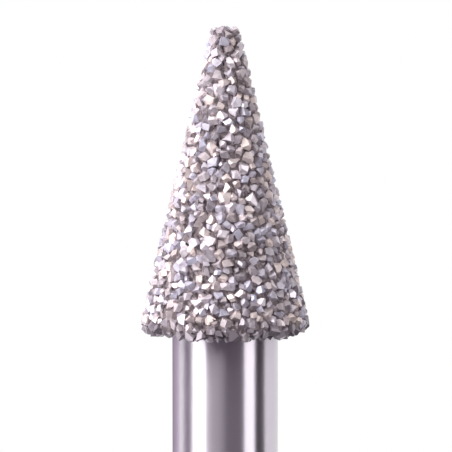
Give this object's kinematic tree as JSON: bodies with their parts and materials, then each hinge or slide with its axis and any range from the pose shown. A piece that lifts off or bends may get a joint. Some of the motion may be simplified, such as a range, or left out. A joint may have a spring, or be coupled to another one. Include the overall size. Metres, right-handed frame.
{
  "type": "dental bur",
  "caption": "Dental bur with a cone-shaped head coated in coarse diamond grit on a long straight steel shank for a straight handpiece.",
  "frame": {"origin": "centre of the shank's flat end", "axes": "+Z along the shank to the tip of the cone; the bur is round, so +X and +Y are free"},
  "size_m": [0.0038, 0.0038, 0.0445],
  "materials": {
    "steel": "ground and polished stainless steel",
    "diamond_grit": "coarse diamond crystals standing out of a nickel bond"
  },
  "bodies": {
    "root": {"steel_blank": "steel", "diamond_coating": "diamond_grit"}
  },
  "joints": []
}
